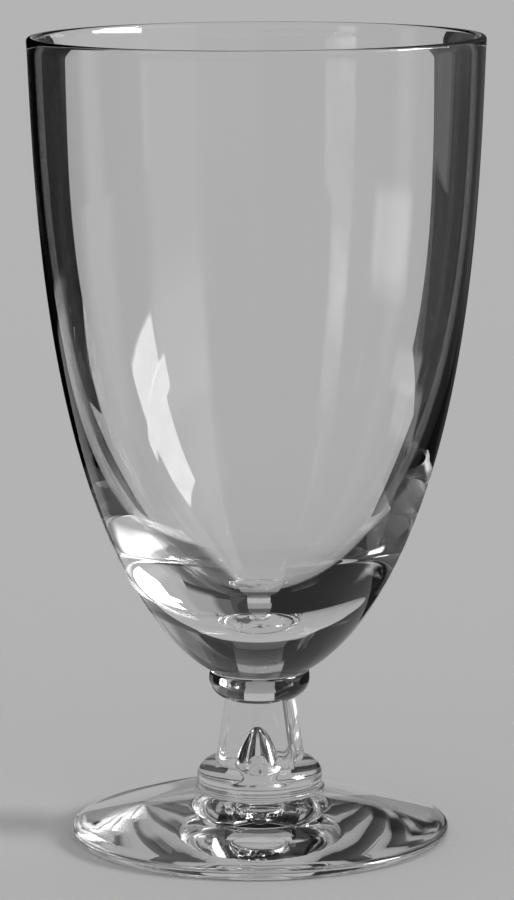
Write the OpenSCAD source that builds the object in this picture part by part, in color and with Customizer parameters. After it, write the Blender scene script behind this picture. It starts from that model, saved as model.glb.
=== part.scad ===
// Footed iced tea glass: a thin egg-shaped bowl on a bead, a short square stem with an air tear in its
// foot, a domed shoulder, a second bead and a spreading foot. Millimetres, +Z up, resting on z = 0.

/* [Whole glass] */
// Height from the table to the rim
height = 150; // [140:1:165]

/* [Bowl] */
// Outside diameter at the rim
rim_d = 84.3; // [78:0.1:92]
// Wall thickness at the rim
wall = 1.4; // [1:0.1:2]
// How much the bowl's radius draws in between the rim and its tip
bowl_taper = 4.46; // [2:0.01:8]
// Fullness of the bowl's bottom: a higher power makes it squarer
bowl_fullness = 2.84; // [2.2:0.01:3.6]
// How much the inside radius draws in between the rim and the bowl's floor
inside_taper = 3.5; // [2:0.1:8]
// Fullness of the bowl's inside
inside_fullness = 3.0; // [2.2:0.1:3.6]
// Height of the bowl's floor above the table
floor_z = 43; // [38:0.5:50]
// Height of the point that the bowl's outside would run down to
tip_z = 28.9; // [28:0.1:30]

/* [Collar] */
// Height of the flat joint between the bowl and the collar
joint_z = 31.4; // [31:0.1:32]
// Diameter of the collar at its widest
collar_d = 19; // [18:0.1:21]
// Height of the collar's widest line
collar_z = 29.8; // [29.4:0.1:30.2]
// Half the collar's full thickness
collar_half_t = 4.2; // [3.8:0.1:4.6]
// Diameter of the flat under the collar
collar_flat_d = 8; // [6:0.5:9]

/* [Stem] */
// Width of the square stem at its top
stem_top_w = 11.8; // [11:0.1:13]
// Width of the square stem at its foot
stem_foot_w = 15.4; // [13:0.1:16]
// Radius of the stem's rounded arrises
stem_arris_r = 1.2; // [0.6:0.1:2]
// Turn of the square about the glass's axis, in degrees
stem_turn = -9; // [-45:1:45]
// Height of the stem's lower end, sunk in the shoulder
seat_z = 12.5; // [12:0.1:13]

/* [Air tear] */
// Height of the tear's tip
tear_tip_z = 20.4; // [18:0.1:23]
// Diameter of the tear below its tip
tear_d = 9; // [7:0.1:9.6]
// Height at which the tip has widened to that diameter
tear_shoulder_z = 12.7; // [12.6:0.1:14]
// Height of the tear's flat bottom
tear_bottom_z = 9.6; // [9.5:0.1:10.4]
// Radius of the round between the tear's side and its bottom
tear_round_r = 0.8; // [0.4:0.1:1.2]

/* [Shoulder] */
// Diameter of the shoulder's wall
shoulder_d = 23.5; // [22.5:0.1:23.9]
// Height of the line where the wall turns into the dome
dome_z = 11.4; // [10.8:0.1:11.8]
// Height of the dome above that line
dome_h = 3.6; // [3:0.1:4.2]
// Diameter of the flat that the dome would have at its top
dome_flat_d = 11.2; // [9:0.1:13]

/* [Base ring] */
// Diameter of the ring at its widest
ring_d = 24.4; // [24.2:0.1:25.4]
// Height of the ring's top, where it meets the shoulder
ring_top_z = 9.3; // [9.2:0.1:9.4]
// Height of the ring's widest line
ring_widest_z = 8.8; // [8.6:0.1:9]
// Height of the ring's bottom, where it meets the foot
ring_bottom_z = 8.4; // [8:0.1:8.4]

/* [Foot] */
// Diameter of the foot
foot_d = 71.2; // [64:0.2:78]
// Thickness of the foot at its rounded edge
foot_edge_t = 2; // [1.6:0.1:2.6]
// How far the foot's top swells above a straight slope
foot_crown = 0.4; // [0:0.1:1]
// Diameter of the hollow under the foot
hollow_d = 66; // [50:1:68]
// Height of the hollow at its middle
hollow_h = 3.2; // [2:0.1:3.6]

/* [Hidden] */

// Clear glass
GLASS = [0.86, 0.89, 0.89, 0.35];

// Points along the bowl's outside and inside, and along each smaller curve
BOWL_STEPS = 32;
CURVE_STEPS = 10;
// Sides of the small circles that the stem's arrises are hulled from
ARRIS_SIDES = 32;
// Thickness of the end slices that the stem is hulled between
SLICE = 0.01;
// How far the wall of the shoulder flares out where it meets the ring
SHOULDER_FLARE = 0.2;
// How far the ring draws in from its widest line to the foot
RING_UNDERCUT = 0.1;

rim_r = rim_d / 2;
lip_r = wall / 2;
collar_flat_r = collar_flat_d / 2;
shoulder_r = shoulder_d / 2;
dome_flat_r = dome_flat_d / 2;
ring_joint_r = shoulder_r + SHOULDER_FLARE;
ring_r = ring_d / 2;
foot_joint_r = ring_r - RING_UNDERCUT;
edge_r = foot_edge_t / 2;
foot_edge_c = foot_d / 2 - edge_r;
tear_r = tear_d / 2;

// Share of the way from the rim to the tip at which the bowl's outside reaches the joint
joint_t = (height - joint_z) / (height - tip_z);

// Radius of an egg-shaped bowl at share t of the way from its rim to its lowest point
function egg_r(rim, taper, fullness, t) = (rim - taper * t) * sqrt(1 - pow(t, fullness));

// Points from (r0, z0) to (r1, z1) along a quarter of an ellipse that starts upright
function quarter_up(r0, z0, r1, z1, steps = CURVE_STEPS) =
    [for (i = [1 : steps]) let (a = 90 * i / steps)
        [r1 + (r0 - r1) * cos(a), z0 + (z1 - z0) * sin(a)]];

// Points from (r0, z0) to (r1, z1) along a quarter of an ellipse that ends upright
function quarter_out(r0, z0, r1, z1, steps = CURVE_STEPS) =
    [for (i = [1 : steps]) let (a = 90 * i / steps)
        [r0 + (r1 - r0) * sin(a), z1 + (z0 - z1) * cos(a)]];

// Outside of the bowl from the joint up to the lip
function bowl_outside() =
    [for (i = [0 : BOWL_STEPS])
        let (t = joint_t * (1 - pow(i / BOWL_STEPS, 1.6)), z = height - (height - tip_z) * t)
        if (z < height - lip_r) [egg_r(rim_r, bowl_taper, bowl_fullness, t), z]];

// Half-round lip from the outside of the bowl over to its inside
function lip() =
    [for (i = [0 : CURVE_STEPS]) let (a = 180 * i / CURVE_STEPS)
        [rim_r - lip_r + lip_r * cos(a), height - lip_r + lip_r * sin(a)]];

// Inside of the bowl from the lip down to the floor
function bowl_inside() =
    [for (i = [1 : BOWL_STEPS])
        let (t = 1 - pow(1 - i / BOWL_STEPS, 2), z = height - (height - floor_z) * t)
        if (z < height - lip_r) [egg_r(rim_r - wall, inside_taper, inside_fullness, t), z]];

// Bead of the collar as a whole ellipse, from its flat underside up to the axis
function bead() =
    concat([[0, collar_z - collar_half_t], [collar_flat_r, collar_z - collar_half_t]],
        quarter_out(collar_flat_r, collar_z - collar_half_t, collar_d / 2, collar_z),
        quarter_up(collar_d / 2, collar_z, collar_flat_r, collar_z + collar_half_t),
        [[0, collar_z + collar_half_t]]);

// Outline of the air tear: a flat bottom with a rounded edge, a straight side and a tip drawn up to a point
function tear_outline() =
    concat([[0, tear_bottom_z], [tear_r - tear_round_r, tear_bottom_z]],
        quarter_out(tear_r - tear_round_r, tear_bottom_z, tear_r, tear_bottom_z + tear_round_r),
        [for (i = [0 : CURVE_STEPS]) let (k = 1 - i / CURVE_STEPS)
            [tear_r * k, tear_tip_z - (tear_tip_z - tear_shoulder_z) * k * k]]);

module tear_space() {
    rotate_extrude() polygon(tear_outline());
}

module stem_slice(width, z) {
    inset = width / 2 - stem_arris_r;
    translate([0, 0, z])
        for (x = [-inset, inset], y = [-inset, inset])
            translate([x, y, 0]) cylinder(r = stem_arris_r, h = SLICE, $fn = ARRIS_SIDES);
}

// Tapered square block of the stem, from its seat up to the middle of the collar
module stem_block() {
    taper = (stem_foot_w - stem_top_w) / (collar_z - collar_half_t - seat_z);
    rotate([0, 0, stem_turn])
        hull() {
            stem_slice(stem_foot_w, seat_z);
            stem_slice(stem_foot_w - taper * (collar_z - seat_z), collar_z - SLICE);
        }
}

module bowl() {
    color(GLASS)
        rotate_extrude()
            polygon(concat([[0, joint_z]], bowl_outside(), lip(), bowl_inside()));
}

module collar() {
    joint_r = egg_r(rim_r, bowl_taper, bowl_fullness, joint_t);
    below = [for (p = bead()) if (p[1] <= collar_z) p];
    color(GLASS)
        rotate_extrude()
            polygon(concat(below, quarter_up(collar_d / 2, collar_z, joint_r, joint_z), [[0, joint_z]]));
}

module stem() {
    color(GLASS)
        difference() {
            stem_block();
            rotate_extrude() polygon(bead());
            tear_space();
        }
}

module shoulder() {
    color(GLASS)
        difference() {
            rotate_extrude()
                polygon(concat([[0, ring_top_z], [ring_joint_r, ring_top_z], [shoulder_r, dome_z]],
                    quarter_up(shoulder_r, dome_z, dome_flat_r, dome_z + dome_h),
                    [[0, dome_z + dome_h]]));
            stem_block();
            tear_space();
        }
}

module base_ring() {
    color(GLASS)
        rotate_extrude()
            polygon(concat([[0, ring_bottom_z], [foot_joint_r, ring_bottom_z]],
                quarter_out(foot_joint_r, ring_bottom_z, ring_r, ring_widest_z),
                quarter_up(ring_r, ring_widest_z, ring_joint_r, ring_top_z),
                [[0, ring_top_z]]));
}

module foot() {
    color(GLASS)
        rotate_extrude()
            polygon(concat(
                [for (i = [0 : CURVE_STEPS]) let (k = i / CURVE_STEPS)
                    [hollow_d / 2 * k, hollow_h * (1 - k * k)]],
                [for (i = [0 : CURVE_STEPS]) let (a = -90 + 180 * i / CURVE_STEPS)
                    [foot_edge_c + edge_r * cos(a), edge_r + edge_r * sin(a)]],
                [for (i = [1 : CURVE_STEPS]) let (k = i / CURVE_STEPS)
                    [foot_edge_c + (foot_joint_r - foot_edge_c) * k,
                     foot_edge_t + (ring_bottom_z - foot_edge_t) * k + foot_crown * 4 * k * (1 - k)]],
                [[0, ring_bottom_z]]));
}

bowl();
collar();
stem();
shoulder();
base_ring();
foot();
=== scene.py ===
"""Looks of a footed iced tea glass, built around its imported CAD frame.

Six lofted pieces of clear glass stand for the six CAD nodes: the bowl, the collar, the square stem, the
domed shoulder, the base ring and the foot. Sizes in the classes are millimetres and angles are degrees;
meshes are in metres, in the frame of the CAD model.
"""

import logging
import math
from collections.abc import Callable
from dataclasses import dataclass
from enum import Enum

import bpy
from mathutils import Matrix, Vector

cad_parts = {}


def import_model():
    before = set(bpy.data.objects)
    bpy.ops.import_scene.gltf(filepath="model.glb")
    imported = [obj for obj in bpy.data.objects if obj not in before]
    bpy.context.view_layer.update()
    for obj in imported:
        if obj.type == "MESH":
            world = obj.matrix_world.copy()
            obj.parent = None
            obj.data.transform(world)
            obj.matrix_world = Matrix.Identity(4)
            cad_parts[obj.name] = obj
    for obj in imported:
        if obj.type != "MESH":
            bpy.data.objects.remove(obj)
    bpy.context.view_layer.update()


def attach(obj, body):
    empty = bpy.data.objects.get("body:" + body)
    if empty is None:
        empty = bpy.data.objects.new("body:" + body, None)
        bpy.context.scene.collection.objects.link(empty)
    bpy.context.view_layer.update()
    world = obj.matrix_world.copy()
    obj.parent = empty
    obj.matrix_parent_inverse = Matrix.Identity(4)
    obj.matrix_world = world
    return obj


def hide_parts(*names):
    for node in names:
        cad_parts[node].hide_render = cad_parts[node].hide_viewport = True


LOG = logging.getLogger("iced_tea_glass")
MM = 0.001
# Points round the axis in every ring of a loft
SIDES = 192
# Points along a quarter of an ellipse, unless a piece asks for another number
QUARTER_STEPS = 12
# An edge that turns by more than this many degrees is shaded as a crease
CREASE = 35
# Halvings of the gap in which a meeting line is looked for
HALVINGS = 40
# Faces along a studio board that curves about the glass, for upright and for level boards
UPRIGHT_FACES = 20
LEVEL_FACES = 24
# Brightness of black cloth, and the height at which cloths lie on the table
BLACK_CLOTH = 0.002
CLOTH_Z = 0.2
# Surfaces that a ray may cross, and mirror turns that it may take
CROSSINGS = 32
MIRROR_TURNS = 16

Point2 = tuple[float, float]
Point3 = tuple[float, float, float]
Outline = Callable[[float], Point2]


class Skin(Enum):
    """What a band of a piece's surface is. The value is the piece's material index."""

    POLISHED = 0
    JOINED = 1


class Side(Enum):
    """Side of the glass, as the camera sees it. The value starts the names of what stands there."""

    LEFT = "left"
    RIGHT = "right"


def linear(hex_colour: str) -> tuple[float, float, float, float]:
    """Turn an sRGB hex colour into linear light.

    Args:
        hex_colour: six hex digits, such as "f4f6f5".

    Returns:
        Linear red, green and blue, and an alpha of 1.
    """
    parts = [int(hex_colour[i:i + 2], 16) / 255 for i in (0, 2, 4)]
    red, green, blue = (c / 12.92 if c <= 0.04045 else ((c + 0.055) / 1.055) ** 2.4 for c in parts)
    return red, green, blue, 1.0


def add_node(tree: bpy.types.NodeTree, kind: str, settings: dict | None = None,
             values: dict | None = None, links: dict | None = None) -> bpy.types.Node:
    """Add one node to a tree.

    Args:
        tree: the node tree to add to.
        kind: Blender's name for the node.
        settings: the node's own properties.
        values: values of input sockets, by name or number.
        links: output sockets that feed input sockets, by name or number.

    Returns:
        The new node.
    """
    node = tree.nodes.new(kind)
    for name, value in (settings or {}).items():
        setattr(node, name, value)
    for name, value in (values or {}).items():
        node.inputs[name].default_value = value
    for name, source in (links or {}).items():
        tree.links.new(source, node.inputs[name])
    return node


def new_material(name: str) -> bpy.types.Material:
    """Make an empty node material.

    Args:
        name: name of the material.

    Returns:
        The material, without any node.
    """
    material = bpy.data.materials.new(name)
    material.use_nodes = True
    material.node_tree.nodes.clear()
    return material


@dataclass(frozen=True)
class ClearGlass:
    """Clear soda-lime glass, fire-polished: no colour, a mirror-smooth skin and faint waves."""

    name: str
    # Width of one wave across and along the axis, and its depth
    wave_mm: float
    wave_along_mm: float
    wave_depth_mm: float
    # Roughness where the fire polish is best and where handling has dulled it
    polish: float
    handled: float
    # Size of the handled patches, and the levels of their pattern where dulling starts and is full
    handled_mm: float = 14.0
    handled_from: float = 0.45
    handled_full: float = 0.75
    # Finer layers in the waves and in the patches, and how strong each layer of the waves is
    wave_layers: float = 1.0
    patch_layers: float = 3.0
    wave_layer_share: float = 0.4
    colour: str = "fefefe"
    ior: float = 1.52

    def material(self) -> bpy.types.Material:
        """Build the node material.

        Returns:
            The material, with the waves as a bump and the handling as a change of roughness.
        """
        material = new_material(self.name)
        tree = material.node_tree
        place = add_node(tree, "ShaderNodeTexCoord").outputs["Object"]
        across = 1 / (self.wave_mm * MM)
        along = 1 / (self.wave_along_mm * MM)
        stretched = add_node(tree, "ShaderNodeMapping", values={"Scale": (across, across, along)},
                             links={"Vector": place})
        waves = add_node(tree, "ShaderNodeTexNoise",
                         values={"Scale": 1.0, "Detail": self.wave_layers,
                                 "Roughness": self.wave_layer_share},
                         links={"Vector": stretched.outputs["Vector"]})
        bump = add_node(tree, "ShaderNodeBump",
                        values={"Strength": 1.0, "Distance": self.wave_depth_mm * MM},
                        links={"Height": waves.outputs[0]})
        patches = add_node(tree, "ShaderNodeTexNoise",
                           values={"Scale": 1 / (self.handled_mm * MM), "Detail": self.patch_layers},
                           links={"Vector": place})
        dulling = add_node(tree, "ShaderNodeMapRange",
                           values={"From Min": self.handled_from, "From Max": self.handled_full,
                                   "To Min": self.polish, "To Max": self.handled},
                           links={"Value": patches.outputs[0]})
        glass = add_node(tree, "ShaderNodeBsdfPrincipled",
                         values={"Base Color": linear(self.colour), "Transmission Weight": 1.0,
                                 "IOR": self.ior},
                         links={"Roughness": dulling.outputs["Result"],
                                "Normal": bump.outputs["Normal"]})
        add_node(tree, "ShaderNodeOutputMaterial", links={"Surface": glass.outputs["BSDF"]})
        return material


@dataclass(frozen=True)
class FusedJoint:
    """Hot joint: the two gathers melt into one glass, so light crosses it unbent and nothing shows."""

    name: str = "fused_glass_joint"

    def material(self) -> bpy.types.Material:
        """Build the node material.

        Returns:
            The material, which passes all light straight on.
        """
        material = new_material(self.name)
        tree = material.node_tree
        clear = add_node(tree, "ShaderNodeBsdfTransparent")
        add_node(tree, "ShaderNodeOutputMaterial", links={"Surface": clear.outputs["BSDF"]})
        return material


@dataclass(frozen=True)
class MattPaper:
    """Uncoated paper: its open fibres scatter the light, so it shows no gloss, only its colour."""

    name: str = "matt_paper"
    colour: str = "bcbcbc"
    roughness: float = 0.95
    gloss: float = 0.1

    def material(self) -> bpy.types.Material:
        """Build the node material.

        Returns:
            The plain material.
        """
        material = new_material(self.name)
        tree = material.node_tree
        paper = add_node(tree, "ShaderNodeBsdfPrincipled",
                         values={"Base Color": linear(self.colour), "Roughness": self.roughness,
                                 "Specular IOR Level": self.gloss})
        add_node(tree, "ShaderNodeOutputMaterial", links={"Surface": paper.outputs["BSDF"]})
        return material


@dataclass(frozen=True)
class StudioCloth:
    """Evenly lit cloth of a studio board: one brightness all over, which can fade out at its edges."""

    name: str
    # Brightness, 1 for white
    light: float
    # Shares of its length and of its width over which its light fades out at its edges
    soft: Point2

    def material(self) -> bpy.types.Material:
        """Build the node material.

        Returns:
            The material, which is clear where the cloth has faded out.
        """
        material = new_material(self.name)
        tree = material.node_tree
        surface = add_node(tree, "ShaderNodeEmission", values={"Strength": self.light}).outputs["Emission"]
        if min(self.soft) > 0:
            clear = add_node(tree, "ShaderNodeBsdfTransparent").outputs["BSDF"]
            surface = add_node(tree, "ShaderNodeMixShader",
                               links={0: self.cover(tree), 1: clear, 2: surface}).outputs["Shader"]
        add_node(tree, "ShaderNodeOutputMaterial", links={"Surface": surface})
        return material

    def cover(self, tree: bpy.types.NodeTree) -> bpy.types.NodeSocket:
        """Work out how much of the cloth is left at each point.

        Args:
            tree: the material's node tree.

        Returns:
            The socket with the amount, 0 at the edges and 1 inside.
        """
        place = add_node(tree, "ShaderNodeTexCoord").outputs["UV"]
        sides = add_node(tree, "ShaderNodeSeparateXYZ", links={"Vector": place}).outputs
        fades = []
        for side, share in zip(sides, self.soft):
            # Way in from the nearer edge, which is half the board in its middle
            inset = add_node(tree, "ShaderNodeMath", {"operation": "PINGPONG"}, {1: 0.5}, {0: side})
            fade = add_node(tree, "ShaderNodeMapRange", {"interpolation_type": "SMOOTHSTEP"},
                            {"From Max": share}, {"Value": inset.outputs["Value"]})
            fades.append(fade.outputs["Result"])
        both = add_node(tree, "ShaderNodeMath", {"operation": "MULTIPLY"},
                        links={0: fades[0], 1: fades[1]})
        return both.outputs["Value"]


# Blown in a mould and spun: the waves run long up the wall
BLOWN_GLASS = ClearGlass("blown_soda_lime_glass", wave_mm=16, wave_along_mm=46, wave_depth_mm=0.012,
                         polish=0.0, handled=0.012)
# Pressed hot and fire-polished: shorter, deeper ripples from the mould's chill
PRESSED_GLASS = ClearGlass("pressed_soda_lime_glass", wave_mm=6, wave_along_mm=8, wave_depth_mm=0.025,
                           polish=0.0, handled=0.01)


def polar(angle: float, radius: float, z: float) -> Vector:
    """Point at an angle in radians about the axis."""
    return Vector((radius * math.cos(angle), radius * math.sin(angle), z))


def angles() -> list[float]:
    """Angles in radians of the points of a ring."""
    return [2 * math.pi * i / SIDES for i in range(SIDES)]


def circle(radius: float, z: float) -> list[Vector]:
    """Round ring of points about the axis."""
    return [polar(a, radius, z) for a in angles()]


def shares(steps: int, with_start: bool = False) -> list[float]:
    """Shares of the way from 0 to 1 in equal steps, without the 0 unless it is asked for."""
    return [i / steps for i in range(0 if with_start else 1, steps + 1)]


def quarter(start: Point2, end: Point2, upright_first: bool, steps: int = QUARTER_STEPS) -> list[Point2]:
    """Quarter of an ellipse between two points of an outline.

    Args:
        start: radius and height that the curve leaves, not repeated in the result.
        end: radius and height that it reaches.
        upright_first: True if the curve is upright at its start, False if at its end.
        steps: number of points.

    Returns:
        Radius and height of each point.
    """
    (r0, z0), (r1, z1) = start, end
    points = []
    for share in shares(steps):
        s, c = math.sin(math.pi / 2 * share), math.cos(math.pi / 2 * share)
        across, up = (1 - c, s) if upright_first else (s, 1 - c)
        points.append((r0 + (r1 - r0) * across, z0 + (z1 - z0) * up))
    return points


def egg_radius(rim: float, taper: float, fullness: float, t: float) -> float:
    """Radius of an egg-shaped wall.

    Args:
        rim: radius at the rim.
        taper: how much the radius draws in on the way down.
        fullness: power that makes the bottom squarer as it grows.
        t: share of the way from the rim to the lowest point.

    Returns:
        The radius there.
    """
    return (rim - taper * t) * math.sqrt(max(0.0, 1 - t ** fullness))


class Loft:
    """Closed skin through rings of points, drawn from a first pole on the axis to a last one."""

    def __init__(self, z: float) -> None:
        """Start at the pole at height z."""
        self.rings: list[list[Vector]] = [[Vector((0, 0, z))]]
        self.bands: list[Skin] = []

    def add(self, ring: list[Vector], skin: Skin) -> None:
        """Draw the skin on to one more ring."""
        self.rings.append(ring)
        self.bands.append(skin)

    def turn(self, points: list[Point2], skin: Skin) -> None:
        """Draw the skin on along a turned outline of radii and heights."""
        for radius, z in points:
            self.add(circle(radius, z), skin)

    def close(self, z: float, skin: Skin) -> None:
        """Draw the skin in to its last pole at height z."""
        self.add([Vector((0, 0, z))], skin)

    def mesh(self, name: str) -> bpy.types.Mesh:
        """Turn the rings into a mesh.

        Args:
            name: name of the new mesh.

        Returns:
            The closed mesh in metres, with one material index for each skin.
        """
        points: list[Vector] = []
        firsts: list[int] = []
        for ring in self.rings:
            firsts.append(len(points))
            points.extend(p * MM for p in ring)
        faces: list[tuple[int, ...]] = []
        skins: list[int] = []
        for k, skin in enumerate(self.bands):
            faces.extend(self.band(k, firsts[k], firsts[k + 1]))
            skins.extend([skin.value] * SIDES)
        mesh = bpy.data.meshes.new(name)
        mesh.from_pydata(points, [], faces)
        mesh.polygons.foreach_set("material_index", skins)
        mesh.polygons.foreach_set("use_smooth", [True] * len(faces))
        mesh.update()
        mesh.set_sharp_from_angle(angle=math.radians(CREASE))
        return mesh

    def band(self, k: int, low: int, high: int) -> list[tuple[int, ...]]:
        """List the faces between a ring and the next one.

        Args:
            k: number of the first of the two rings.
            low: index of the first ring's first point.
            high: index of the second ring's first point.

        Returns:
            The point indices of each face, triangles where one of the rings is a pole.
        """
        faces = []
        for i in range(SIDES):
            j = (i + 1) % SIDES
            if len(self.rings[k]) == 1:
                faces.append((low, high + j, high + i))
            elif len(self.rings[k + 1]) == 1:
                faces.append((low + i, low + j, high))
            else:
                faces.append((low + i, low + j, high + j, high + i))
        return faces


@dataclass(frozen=True)
class SquareBlock:
    """Tapered block of the stem: a square with rounded arrises, turned about the axis."""

    top_w: float = 11.8
    top_z: float = 25.6
    foot_w: float = 15.4
    seat_z: float = 12.5
    arris_r: float = 1.2
    turn: float = -9.0
    # Rings of the end that is sunk in the shoulder
    sunk_rings: int = 4

    def radius(self, angle: float, z: float) -> float:
        """Reach of the block's side from the axis.

        Args:
            angle: angle about the axis, in radians.
            z: height.

        Returns:
            The distance from the axis to the side.
        """
        share = (self.top_z - z) / (self.top_z - self.seat_z)
        half = (self.top_w + (self.foot_w - self.top_w) * share) / 2
        a = (angle - math.radians(self.turn)) % (math.pi / 2)
        a = min(a, math.pi / 2 - a)
        inset = half - self.arris_r
        if half * math.tan(a) <= inset:
            return half / math.cos(a)
        middle = inset * (math.cos(a) + math.sin(a))
        return middle + math.sqrt(max(0.0, middle ** 2 - 2 * inset ** 2 + self.arris_r ** 2))

    def ring(self, heights: list[float]) -> list[Vector]:
        """Ring of points on the block's side, one height for each angle."""
        return [polar(a, self.radius(a, z), z) for a, z in zip(angles(), heights)]

    def meets(self, outline: Outline, low: float, high: float) -> list[float]:
        """Find where a turned outline runs into the block's side, all the way round.

        Args:
            outline: gives the radius and height at a parameter.
            low: parameter on one side of the meeting line.
            high: parameter on its other side.

        Returns:
            The outline's parameter at the meeting line, for each angle of a ring.
        """
        found = []
        for a in angles():
            inside, outside = low, high
            starts_proud = outline(low)[0] > self.radius(a, outline(low)[1])
            for _ in range(HALVINGS):
                middle = (inside + outside) / 2
                r, z = outline(middle)
                if (r > self.radius(a, z)) == starts_proud:
                    inside = middle
                else:
                    outside = middle
            found.append((inside + outside) / 2)
        return found


@dataclass(frozen=True)
class AirTear:
    """Bubble sealed between the stem and the shoulder: a drawn-up tip over a flat, round bottom."""

    tip_z: float = 20.4
    reach: float = 4.5
    full_z: float = 12.7
    bottom_z: float = 9.6
    round_r: float = 0.8
    tip_rings: int = 26

    def tip(self, end_z: float) -> list[Point2]:
        """Draw the outline of the tip.

        Args:
            end_z: height at which it ends.

        Returns:
            Radius and height of each point, from just below the tip down.
        """
        depth = self.tip_z - end_z
        heights = [self.tip_z - depth * share ** 2 for share in shares(self.tip_rings)]
        slope = self.reach / math.sqrt(self.tip_z - self.full_z)
        return [(min(self.reach, slope * math.sqrt(self.tip_z - z)), z) for z in heights]

    def well(self) -> list[Point2]:
        """Draw the outline of the straight side below the seat and of the round at its bottom.

        Returns:
            Radius and height of each point, from the side down.
        """
        turn_z = self.bottom_z + self.round_r
        edge = self.reach - self.round_r
        return [(self.reach, turn_z)] + quarter((self.reach, turn_z), (edge, self.bottom_z), True)


class GlassPiece:
    """One gather of glass, which stands for the CAD node of the same name."""

    node: str
    slot: str
    finish: ClearGlass

    def loft(self) -> Loft:
        """Draw the piece's skin."""
        raise NotImplementedError

    def build(self) -> bpy.types.Object:
        """Make the piece's object in place of its CAD node.

        Returns:
            The new object, which rides on the part's one body.
        """
        name = f"{self.node}_glass"
        piece = bpy.data.objects.new(name, self.loft().mesh(name))
        bpy.context.collection.objects.link(piece)
        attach(piece, "root")
        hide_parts(self.node)
        return piece

    def dress(self, piece: bpy.types.Object, finishes: dict[str, bpy.types.Material],
              joint: bpy.types.Material) -> None:
        """Give the piece its glass and its joints.

        Args:
            piece: the object that build made.
            finishes: the glass materials, by name.
            joint: the material of the fused joints.
        """
        piece.data.materials.append(finishes[self.finish.name])
        piece.data.materials.append(joint)


@dataclass
class Bowl(GlassPiece):
    """Egg-shaped bowl: a thin wall, a fire-polished lip and a heavy bottom."""

    node = "bowl"
    slot = "blown_glass"
    finish = BLOWN_GLASS
    height: float = 150.0
    rim_r: float = 42.15
    wall: float = 1.4
    taper: float = 4.46
    fullness: float = 2.84
    inside_taper: float = 3.5
    inside_fullness: float = 3.0
    floor_z: float = 43.0
    tip_z: float = 28.9
    joint_z: float = 31.4
    # Rings up the outside, over the lip and down the inside
    outside_rings: int = 80
    lip_rings: int = 14
    inside_rings: int = 96
    # How much closer the rings lie towards the bottom, outside and inside
    outside_crowding: float = 1.6
    inside_crowding: float = 2.0

    def outside(self, t: float) -> Point2:
        """Outline of the outside at share t of the way from the rim to the tip."""
        radius = egg_radius(self.rim_r, self.taper, self.fullness, t)
        return radius, self.height - (self.height - self.tip_z) * t

    def inside(self, t: float) -> Point2:
        """Outline of the inside at share t of the way from the rim to the floor."""
        radius = egg_radius(self.rim_r - self.wall, self.inside_taper, self.inside_fullness, t)
        return radius, self.height - (self.height - self.floor_z) * t

    def joint_t(self) -> float:
        """Share of the way from the rim to the tip at which the joint with the collar lies."""
        return (self.height - self.joint_z) / (self.height - self.tip_z)

    def joint_r(self) -> float:
        """Radius of the joint with the collar."""
        return self.outside(self.joint_t())[0]

    def loft(self) -> Loft:
        """Draw the skin from the joint up the outside, over the lip and down to the floor.

        Returns:
            The closed skin.
        """
        joint_t = self.joint_t()
        lip_r = self.wall / 2
        lip_z = self.height - lip_r
        up = [self.outside(joint_t * (1 - s ** self.outside_crowding)) for s in shares(self.outside_rings)]
        turns = [math.pi * s for s in shares(self.lip_rings, True)]
        lip = [(self.rim_r - lip_r + lip_r * math.cos(a), lip_z + lip_r * math.sin(a)) for a in turns]
        down = [self.inside(1 - (1 - s) ** self.inside_crowding) for s in shares(self.inside_rings)[:-1]]
        skin = Loft(self.joint_z)
        skin.turn([self.outside(joint_t)], Skin.JOINED)
        skin.turn([p for p in up if p[1] < lip_z], Skin.POLISHED)
        skin.turn(lip, Skin.POLISHED)
        skin.turn([p for p in down if p[1] < lip_z], Skin.POLISHED)
        skin.close(self.floor_z, Skin.POLISHED)
        return skin


@dataclass
class Collar(GlassPiece):
    """Round bead between the bowl and the stem."""

    node = "collar"
    slot = "pressed_glass"
    finish = PRESSED_GLASS
    bowl: Bowl
    block: SquareBlock
    reach: float = 9.5
    middle_z: float = 29.8
    half_t: float = 4.2
    flat_r: float = 4.0
    # Rings of the seat of the stem's end, and from the stem's side out to the bead's widest line
    seat_rings: int = 8
    bead_rings: int = 20

    def outline(self, angle: float) -> Point2:
        """Radius and height at an angle round the bead's section, 0 at its widest."""
        radius = self.flat_r + (self.reach - self.flat_r) * math.cos(angle)
        return radius, self.middle_z + self.half_t * math.sin(angle)

    def stem_line(self) -> list[float]:
        """Angles round the section at which the bead runs into the stem."""
        return self.block.meets(self.outline, -math.pi / 2, 0)

    def seat(self) -> list[list[Vector]]:
        """Draw the underside that the stem's end is fused to.

        Returns:
            Its rings, from the bottom flat out to the stem's side.
        """
        rings = [circle(*self.outline(-math.pi / 2))]
        line = self.stem_line()
        for share in shares(self.seat_rings):
            ends = [-math.pi / 2 + (a + math.pi / 2) * share for a in line]
            rings.append([polar(a, *self.outline(e)) for a, e in zip(angles(), ends)])
        return rings

    def loft(self) -> Loft:
        """Draw the skin from the seat out round the bead and in to the bowl's joint.

        Returns:
            The closed skin.
        """
        skin = Loft(self.middle_z - self.half_t)
        for ring in self.seat():
            skin.add(ring, Skin.JOINED)
        line = self.stem_line()
        for share in shares(self.bead_rings):
            ends = [e * (1 - share) for e in line]
            skin.add([polar(a, *self.outline(e)) for a, e in zip(angles(), ends)], Skin.POLISHED)
        top = (self.bowl.joint_r(), self.bowl.joint_z)
        skin.turn(quarter((self.reach, self.middle_z), top, True), Skin.POLISHED)
        skin.close(self.bowl.joint_z, Skin.JOINED)
        return skin


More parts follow.
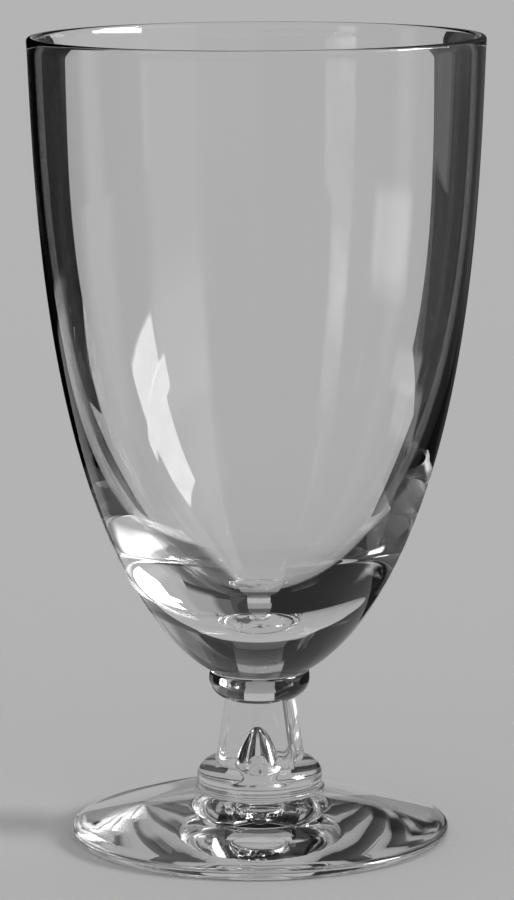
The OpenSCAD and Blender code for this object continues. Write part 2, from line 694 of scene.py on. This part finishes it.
@dataclass
class Shoulder(GlassPiece):
    """Domed knop that the stem stands in, with the lower half of the air tear."""

    node = "shoulder"
    slot = "pressed_glass"
    finish = PRESSED_GLASS
    block: SquareBlock
    tear: AirTear
    wall_r: float = 11.75
    flare: float = 0.2
    bottom_z: float = 9.3
    dome_z: float = 11.4
    dome_h: float = 3.6
    dome_flat_r: float = 5.6
    # Rings up the wall and up the dome
    wall_rings: int = 8
    dome_rings: int = 24

    def outline(self, angle: float) -> Point2:
        """Radius and height of the dome at an angle above its widest line."""
        radius = self.dome_flat_r + (self.wall_r - self.dome_flat_r) * math.cos(angle)
        return radius, self.dome_z + self.dome_h * math.sin(angle)

    def side(self, share: float) -> Point2:
        """Radius and height at a share of the way up the flared wall."""
        radius = self.wall_r + self.flare * (1 - share) ** 2
        return radius, self.bottom_z + (self.dome_z - self.bottom_z) * share

    def stem_line(self) -> list[float]:
        """Angles above the dome's widest line at which it runs into the stem."""
        return self.block.meets(self.outline, 0, math.pi / 2)

    def pocket(self) -> list[list[Vector]]:
        """Draw the pocket that the stem stands in.

        Returns:
            Its rings, from the dome down to the seat.
        """
        tops = [self.outline(e)[1] for e in self.stem_line()]
        block = self.block
        return [block.ring([z + (block.seat_z - z) * share for z in tops])
                for share in shares(block.sunk_rings)]

    def loft(self) -> Loft:
        """Draw the skin from the bottom up the wall and dome, into the pocket and down the tear.

        Returns:
            The closed skin.
        """
        skin = Loft(self.bottom_z)
        skin.turn([(self.wall_r + self.flare, self.bottom_z)], Skin.JOINED)
        skin.turn([self.side(share) for share in shares(self.wall_rings)], Skin.POLISHED)
        line = self.stem_line()
        for share in shares(self.dome_rings):
            ends = [e * share for e in line]
            skin.add([polar(a, *self.outline(e)) for a, e in zip(angles(), ends)], Skin.POLISHED)
        for ring in self.pocket():
            skin.add(ring, Skin.JOINED)
        skin.turn([(self.tear.reach, self.block.seat_z)], Skin.JOINED)
        skin.turn(self.tear.well(), Skin.POLISHED)
        skin.close(self.tear.bottom_z, Skin.POLISHED)
        return skin


@dataclass
class Stem(GlassPiece):
    """Short square stem, with the tip of the air tear in its foot."""

    node = "stem"
    slot = "pressed_glass"
    finish = PRESSED_GLASS
    collar: Collar
    shoulder: Shoulder
    # Rings up the sides between the shoulder and the collar
    side_rings: int = 18

    def loft(self) -> Loft:
        """Draw the skin from the tear's tip over the seat, up the sides and in over the collar's seat.

        Returns:
            The closed skin.
        """
        block, tear = self.shoulder.block, self.shoulder.tear
        skin = Loft(tear.tip_z)
        skin.turn(tear.tip(block.seat_z), Skin.POLISHED)
        skin.add(block.ring([block.seat_z] * SIDES), Skin.JOINED)
        feet = [self.shoulder.outline(e)[1] for e in self.shoulder.stem_line()]
        heads = [self.collar.outline(e)[1] for e in self.collar.stem_line()]
        for share in shares(block.sunk_rings):
            skin.add(block.ring([block.seat_z + (z - block.seat_z) * share for z in feet]), Skin.JOINED)
        for share in shares(self.side_rings):
            heights = [low + (high - low) * share for low, high in zip(feet, heads)]
            skin.add(block.ring(heights), Skin.POLISHED)
        for ring in reversed(self.collar.seat()[:-1]):
            skin.add(ring, Skin.JOINED)
        skin.close(self.collar.middle_z - self.collar.half_t, Skin.JOINED)
        return skin


@dataclass
class BaseRing(GlassPiece):
    """Low rounded ring under the shoulder."""

    node = "base_ring"
    slot = "pressed_glass"
    finish = PRESSED_GLASS
    shoulder: Shoulder
    reach: float = 12.2
    undercut: float = 0.1
    widest_z: float = 8.8
    bottom_z: float = 8.4
    # Rings below and above the widest line
    low_rings: int = 6
    high_rings: int = 16

    def joint_r(self) -> float:
        """Radius of the joint with the foot."""
        return self.reach - self.undercut

    def loft(self) -> Loft:
        """Draw the skin from the foot's joint out round the ring's side to the shoulder's joint.

        Returns:
            The closed skin.
        """
        low = (self.joint_r(), self.bottom_z)
        widest = (self.reach, self.widest_z)
        high = (self.shoulder.wall_r + self.shoulder.flare, self.shoulder.bottom_z)
        skin = Loft(self.bottom_z)
        skin.turn([low], Skin.JOINED)
        skin.turn(quarter(low, widest, False, self.low_rings), Skin.POLISHED)
        skin.turn(quarter(widest, high, True, self.high_rings), Skin.POLISHED)
        skin.close(self.shoulder.bottom_z, Skin.JOINED)
        return skin


@dataclass
class Foot(GlassPiece):
    """Spreading foot: a crowned top, a half-round edge and a domed hollow underneath."""

    node = "foot"
    slot = "pressed_glass"
    finish = PRESSED_GLASS
    ring: BaseRing
    reach: float = 35.6
    edge_t: float = 2.0
    # How far the top swells above a straight slope
    crown: float = 0.4
    hollow_r: float = 33.0
    hollow_h: float = 3.2
    # Rings of the hollow, of the edge and of the top
    hollow_rings: int = 14
    edge_rings: int = 20
    top_rings: int = 28

    def top(self, share: float) -> Point2:
        """Radius and height at a share of the way from the edge in to the ring's joint."""
        edge_r, joint_r = self.reach - self.edge_t / 2, self.ring.joint_r()
        slope_z = self.edge_t + (self.ring.bottom_z - self.edge_t) * share
        return edge_r + (joint_r - edge_r) * share, slope_z + self.crown * 4 * share * (1 - share)

    def loft(self) -> Loft:
        """Draw the skin from the hollow out to the edge and up over the top to the ring's joint.

        Returns:
            The closed skin.
        """
        edge_r = self.edge_t / 2
        centre_r = self.reach - edge_r
        hollow = [(self.hollow_r * s, self.hollow_h * (1 - s ** 2)) for s in shares(self.hollow_rings)]
        turns = [math.pi * (s - 0.5) for s in shares(self.edge_rings, True)[:-1]]
        edge = [(centre_r + edge_r * math.cos(a), edge_r + edge_r * math.sin(a)) for a in turns]
        skin = Loft(self.hollow_h)
        skin.turn(hollow, Skin.POLISHED)
        skin.turn(edge, Skin.POLISHED)
        skin.turn([self.top(share) for share in shares(self.top_rings, True)], Skin.POLISHED)
        skin.close(self.ring.bottom_z, Skin.JOINED)
        return skin


def fan(sides: Point2, faces: int) -> list[float]:
    """Angles in radians from one side to another in equal steps, given those sides in degrees."""
    return [math.radians(sides[0] + (sides[1] - sides[0]) * s) for s in shares(faces, True)]


def on_plan(turn: float, radius: float) -> Point2:
    """Point on the plan at an angle from straight behind the glass round to the right."""
    return radius * math.sin(turn), radius * math.cos(turn)


def studio_board(name: str, points: list[Vector], light: float, soft: Point2) -> bpy.types.Object:
    """Make a studio board that lights or darkens only what the glass reflects and bends.

    Args:
        name: name of the board.
        points: pairs of points along its two long edges, in metres.
        light: its brightness, 1 for white.
        soft: shares of its length and of its width over which its light fades out at its edges.

    Returns:
        The board, unseen by the camera, by diffuse light and by shadows.
    """
    steps = len(points) // 2 - 1
    mesh = bpy.data.meshes.new(name)
    mesh.from_pydata(points, [], [(2 * i, 2 * i + 2, 2 * i + 3, 2 * i + 1) for i in range(steps)])
    cloth = mesh.uv_layers.new(name="cloth")
    for loop, spot in zip(mesh.loops, cloth.data):
        spot.uv = (loop.vertex_index // 2 / steps, loop.vertex_index % 2)
    mesh.materials.append(StudioCloth(f"{name}_cloth", light, soft).material())
    board = bpy.data.objects.new(name, mesh)
    bpy.context.collection.objects.link(board)
    board.visible_camera = False
    board.visible_diffuse = False
    board.visible_shadow = False
    return board


@dataclass(frozen=True)
class Curve:
    """Upright studio board that curves about the glass."""

    name: str
    # Directions of its two ends, in degrees from straight behind the glass round to the right
    sides: Point2
    radius: float
    heights: Point2
    light: float = BLACK_CLOTH
    # Width over which its light fades out at its edges
    soft: float = 0.0

    def build(self) -> bpy.types.Object:
        """Make the board.

        Returns:
            The board's object.
        """
        plan = [on_plan(turn, self.radius) for turn in fan(self.sides, UPRIGHT_FACES)]
        points = [Vector((x, y, z)) * MM for x, y in plan for z in self.heights]
        length = sum(math.dist(a, b) for a, b in zip(plan, plan[1:]))
        width = self.heights[1] - self.heights[0]
        return studio_board(self.name, points, self.light, (self.soft / length, self.soft / width))


@dataclass(frozen=True)
class Sector:
    """Level studio board: a sector of a ring about the glass's axis."""

    name: str
    # Directions of its two ends, in degrees from straight behind the glass round to the right
    sides: Point2
    radii: Point2
    z: float = CLOTH_Z
    light: float = BLACK_CLOTH
    # Width over which its light fades out at its edges
    soft: float = 0.0

    def build(self) -> bpy.types.Object:
        """Make the board.

        Returns:
            The board's object.
        """
        turns = fan(self.sides, LEVEL_FACES)
        points = [Vector((*on_plan(turn, r), self.z)) * MM for turn in turns for r in self.radii]
        length = math.radians(self.sides[1] - self.sides[0]) * sum(self.radii) / 2
        width = self.radii[1] - self.radii[0]
        return studio_board(self.name, points, self.light, (self.soft / length, self.soft / width))


@dataclass(frozen=True)
class Panel:
    """Flat studio board with four corners."""

    name: str
    # Two corners of its first end, then the matching two of its other end
    corners: tuple[Point3, Point3, Point3, Point3]
    light: float = BLACK_CLOTH

    @classmethod
    def on_table(cls, name: str, plan: tuple[Point2, ...], light: float = BLACK_CLOTH) -> "Panel":
        """Lay a board on the table, with its corners given on the plan."""
        return cls(name, tuple((x, y, CLOTH_Z) for x, y in plan), light)

    def build(self) -> bpy.types.Object:
        """Make the board, with hard edges."""
        points = [Vector(corner) * MM for corner in self.corners]
        return studio_board(self.name, points, self.light, (0.0, 0.0))


@dataclass(frozen=True)
class Flag:
    """Dark screen close behind one side of the glass: a slanted edge, a wing and a hem to the table."""

    side: Side
    # Lowest points of the edge's near end and of the bend between the edge and the wing
    near: Point3
    bend: Point3
    # Where the hem's inner corner and the wing's outer end stand on the table
    hem: Point2
    end: Point2
    # Brightness of the edge, the wing and the hem
    lights: Point3 = (BLACK_CLOTH, BLACK_CLOTH, BLACK_CLOTH)
    top_z: float = 400.0

    def panels(self) -> list[Panel]:
        """Cut the flag into flat panels.

        Returns:
            The edge, the wing and the hem.
        """
        near_top = (*self.near[:2], self.top_z)
        bend_top = (*self.bend[:2], self.top_z)
        end_foot, end_low, end_top = ((*self.end, z) for z in (0, self.bend[2], self.top_z))
        corners = {"edge": (self.near, near_top, self.bend, bend_top),
                   "wing": (self.bend, bend_top, end_low, end_top),
                   "hem": ((*self.hem, 0), self.bend, end_foot, end_low)}
        return [Panel(f"{self.side.value}_flag_{name}", points, light)
                for (name, points), light in zip(corners.items(), self.lights)]


@dataclass
class Studio:
    """Table, backdrop, cloths and lights round the glass."""

    # Half the width of the table, and how far it lies under the foot
    table_half: float = 6000.0
    table_drop: float = 0.1
    paper: MattPaper = MattPaper()
    # Brightness of the backdrop as seen, and of the room as it lights the table
    backdrop: float = 0.46
    room: float = 0.62
    room_colour: str = "ffffff"
    # Far lamp on the right: direction, how wide it looks and how strongly it lights what faces it
    lamp_side: float = 98.0
    lamp_up: float = 22.0
    lamp_width: float = 18.0
    lamp_strength: float = 2.4

    def flags(self) -> list[Panel]:
        """List the panels of the flags, which darken the bowl's two sides.

        Returns:
            The panels of the left flag, then those of the right one.
        """
        left = Flag(Side.LEFT, near=(-46.4, 100, 84), bend=(-62.6, 250, 58), hem=(-76, 252),
                    end=(-150, 262))
        right = Flag(Side.RIGHT, near=(41.6, 100, 74), bend=(55, 250, 39), hem=(75, 252),
                     end=(150, 262), lights=(0.03, 0.06, 0.05))
        return left.panels() + right.panels()

    def left_side(self) -> list[Curve]:
        """List the black drapes on the left, the dim room behind them and two small windows.

        Returns:
            The boards.
        """
        return [
            Curve("left_drape", sides=(-70, -12.4), radius=650, heights=(0, 800)),
            Curve("left_drape_end", sides=(-88, -62), radius=645, heights=(-200, 1000), soft=90),
            Curve("left_lintel", sides=(-112, -68), radius=640, heights=(140, 900), soft=90),
            Curve("left_return_end", sides=(-118, -92), radius=645, heights=(-200, 1000), soft=90),
            Curve("left_return", sides=(-122, -110), radius=650, heights=(0, 800)),
            Curve("left_room", sides=(-180, -122), radius=1300, heights=(0, 1600), light=0.06),
            Curve("left_window", sides=(-134.5, -121.5), radius=400, heights=(140, 202), light=1.9,
                  soft=20),
            Curve("left_pane", sides=(-107.5, -104), radius=635, heights=(225, 300), light=0.6, soft=10),
        ]

    def right_side(self) -> list[Curve]:
        """List the grey drapes, the wide window, the dim room and the lights on the right.

        Returns:
            The boards.
        """
        return [
            Curve("right_drape_low", sides=(14, 66), radius=650, heights=(0, 130), light=0.03),
            Curve("right_drape_near", sides=(14, 66), radius=655, heights=(100, 800), light=0.12),
            Curve("right_drape_far", sides=(42, 74), radius=645, heights=(60, 800), light=0.36, soft=100),
            Curve("right_window", sides=(106, 151), radius=1500, heights=(230, 800), light=1.6, soft=160),
            Curve("right_room", sides=(144, 190), radius=1290, heights=(60, 1600), light=0.08, soft=160),
            Curve("low_light", sides=(97, 122), radius=260, heights=(28, 84), light=1.6, soft=12),
            Curve("low_light_near", sides=(75, 101), radius=150, heights=(14, 44), light=1.5, soft=8),
            Curve("rim_light", sides=(76, 112), radius=260, heights=(156, 176), light=14.0, soft=3),
            Curve("softbox", sides=(84, 109), radius=600, heights=(190, 548), light=20.0, soft=14),
        ]

    def behind(self) -> list[Curve]:
        """List the darker upper parts of the backdrop.

        Returns:
            The boards.
        """
        return [
            Curve("backdrop_middle", sides=(-14, 14), radius=640, heights=(180, 350), light=0.3),
            Curve("backdrop_top", sides=(-14, 14), radius=640, heights=(350, 800), light=0.1),
        ]

    def level(self) -> list[Sector | Panel]:
        """List what only the glass shows: a glowing disc of painted light under the foot, a painted shadow
        on the table behind the foot, the cloths that lie on the table and the ceiling.

        Returns:
            The boards.
        """
        return [
            # Painted light: a glowing disc as bright as the lit table, put under the glass in place of the
            # table that the glass's own shadow would darken
            Sector("painted_light_under_foot", sides=(0, 360), radii=(0.5, 84), z=-0.05, light=0.42),
            # Painted shadow: a darker wedge of the table behind the foot, which only the glass shows
            Sector("painted_shadow_behind_foot", sides=(-46, -12), radii=(0.5, 84), z=-0.03, light=0.1, soft=5),
            Sector("left_table_cloth", sides=(-83, -47), radii=(80, 720), soft=60),
            Sector("left_table_return", sides=(-128, -97), radii=(80, 720), soft=50),
            Sector("left_far_cloth", sides=(-64, -26), radii=(450, 720), z=0.25, soft=50),
            Panel.on_table("left_edge_cloth", ((-52.1, 81.8), (-160, 252), (-46, 85), (-95, 252))),
            Panel.on_table("left_back_cloth", ((-93, 250), (-119, 640), (-165, 250), (-420, 640))),
            Panel.on_table("right_table_cloth", ((47.5, 80.5), (164, 780), (90, 19), (795, 169)), 0.02),
            Sector("ceiling", sides=(0, 360), radii=(1, 650), z=780, light=0.01),
        ]

    def build(self) -> None:
        """Set up the table, the boards, the lamp and the world."""
        self.table()
        for board in [*self.flags(), *self.left_side(), *self.right_side(), *self.behind(), *self.level()]:
            board.build()
            LOG.info("studio board %s", board.name)
        self.lamp()
        self.world()

    def table(self) -> None:
        """Lay the pale paper that the glass stands on."""
        h, z = self.table_half, -self.table_drop
        corners = [Vector((x, y, z)) * MM for x, y in ((-h, -h), (h, -h), (h, h), (-h, h))]
        mesh = bpy.data.meshes.new("table_paper")
        mesh.from_pydata(corners, [], [(0, 1, 2, 3)])
        mesh.materials.append(self.paper.material())
        table = bpy.data.objects.new("table_paper", mesh)
        bpy.context.collection.objects.link(table)

    def lamp(self) -> None:
        """Hang the soft lamp that shades the table from the right."""
        side, up = math.radians(self.lamp_side), math.radians(self.lamp_up)
        way = Vector((*on_plan(side, math.cos(up)), math.sin(up)))
        data = bpy.data.lights.new("right_lamp", "SUN")
        data.energy = self.lamp_strength
        data.angle = math.radians(self.lamp_width)
        lamp = bpy.data.objects.new("right_lamp", data)
        bpy.context.collection.objects.link(lamp)
        lamp.rotation_euler = (-way).to_track_quat("-Z", "Y").to_euler()
        lamp.visible_camera = False
        lamp.visible_glossy = False
        lamp.visible_transmission = False

    def world(self) -> None:
        """Give the room one brightness as seen and another as it lights the table."""
        world = bpy.data.worlds.new("studio")
        bpy.context.scene.world = world
        world.use_nodes = True
        tree = world.node_tree
        tree.nodes.clear()
        path = add_node(tree, "ShaderNodeLightPath")
        level = add_node(tree, "ShaderNodeMapRange",
                         values={"To Min": self.backdrop, "To Max": self.room},
                         links={"Value": path.outputs["Is Diffuse Ray"]})
        sky = add_node(tree, "ShaderNodeBackground", values={"Color": linear(self.room_colour)},
                       links={"Strength": level.outputs["Result"]})
        add_node(tree, "ShaderNodeOutputWorld", links={"Surface": sky.outputs["Background"]})


@dataclass(frozen=True)
class PhotoCamera:
    """Camera at the photograph's viewing angle."""

    # Distance in front of the axis, and height above the table
    back: float = 745.8
    height: float = 198.0
    # Turns downwards, about its line of sight and sideways
    pitch: float = 9.514
    roll: float = -0.275
    yaw: float = 0.0183
    # Focal length and height of the frame in pixels, and the film's height
    focal_px: float = 4060.9
    frame_px: int = 900
    film: float = 24.0
    # Nearest distance that it shows
    nearest: float = 10.0

    def build(self) -> None:
        """Make the camera and use it for the scene."""
        data = bpy.data.cameras.new("photo_camera")
        data.sensor_fit = "VERTICAL"
        data.sensor_height = self.film
        data.lens = self.focal_px / self.frame_px * self.film
        data.clip_start = self.nearest * MM
        camera = bpy.data.objects.new("photo_camera", data)
        bpy.context.collection.objects.link(camera)
        pitch = math.radians(self.pitch)
        aim = Vector((0, math.cos(pitch), -math.sin(pitch))).to_track_quat("-Z", "Y").to_matrix()
        yaw = Matrix.Rotation(math.radians(self.yaw), 3, "Y")
        roll = Matrix.Rotation(math.radians(self.roll), 3, "Z")
        place = Matrix.Translation(Vector((0, -self.back, self.height)) * MM)
        camera.matrix_world = place @ (aim @ yaw @ roll).to_4x4()
        bpy.context.scene.camera = camera


def set_up_render() -> None:
    """Use plain colours and let light cross every surface of the glass."""
    scene = bpy.context.scene
    scene.view_settings.view_transform = "Standard"
    scene.cycles.max_bounces = CROSSINGS
    scene.cycles.transmission_bounces = CROSSINGS
    scene.cycles.glossy_bounces = MIRROR_TURNS
    scene.cycles.transparent_max_bounces = CROSSINGS


def glass_pieces() -> list[GlassPiece]:
    """Size the pieces of the glass to each other.

    Returns:
        The pieces, from the bowl down to the foot.
    """
    block, tear, bowl = SquareBlock(), AirTear(), Bowl()
    collar = Collar(bowl, block)
    shoulder = Shoulder(block, tear)
    ring = BaseRing(shoulder)
    return [bowl, collar, Stem(collar, shoulder), shoulder, ring, Foot(ring)]


def main() -> None:
    """Build the glass, its studio and the camera."""
    logging.basicConfig(level=logging.INFO, format="%(name)s: %(message)s")
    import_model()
    finishes = {finish.name: finish.material() for finish in (BLOWN_GLASS, PRESSED_GLASS)}
    joint = FusedJoint().material()
    for part in glass_pieces():
        piece = part.build()
        part.dress(piece, finishes, joint)
        LOG.info("piece %s: %d points", piece.name, len(piece.data.vertices))
    Studio().build()
    PhotoCamera().build()
    set_up_render()
    bpy.context.view_layer.update()


if __name__ == "__main__":
    main()
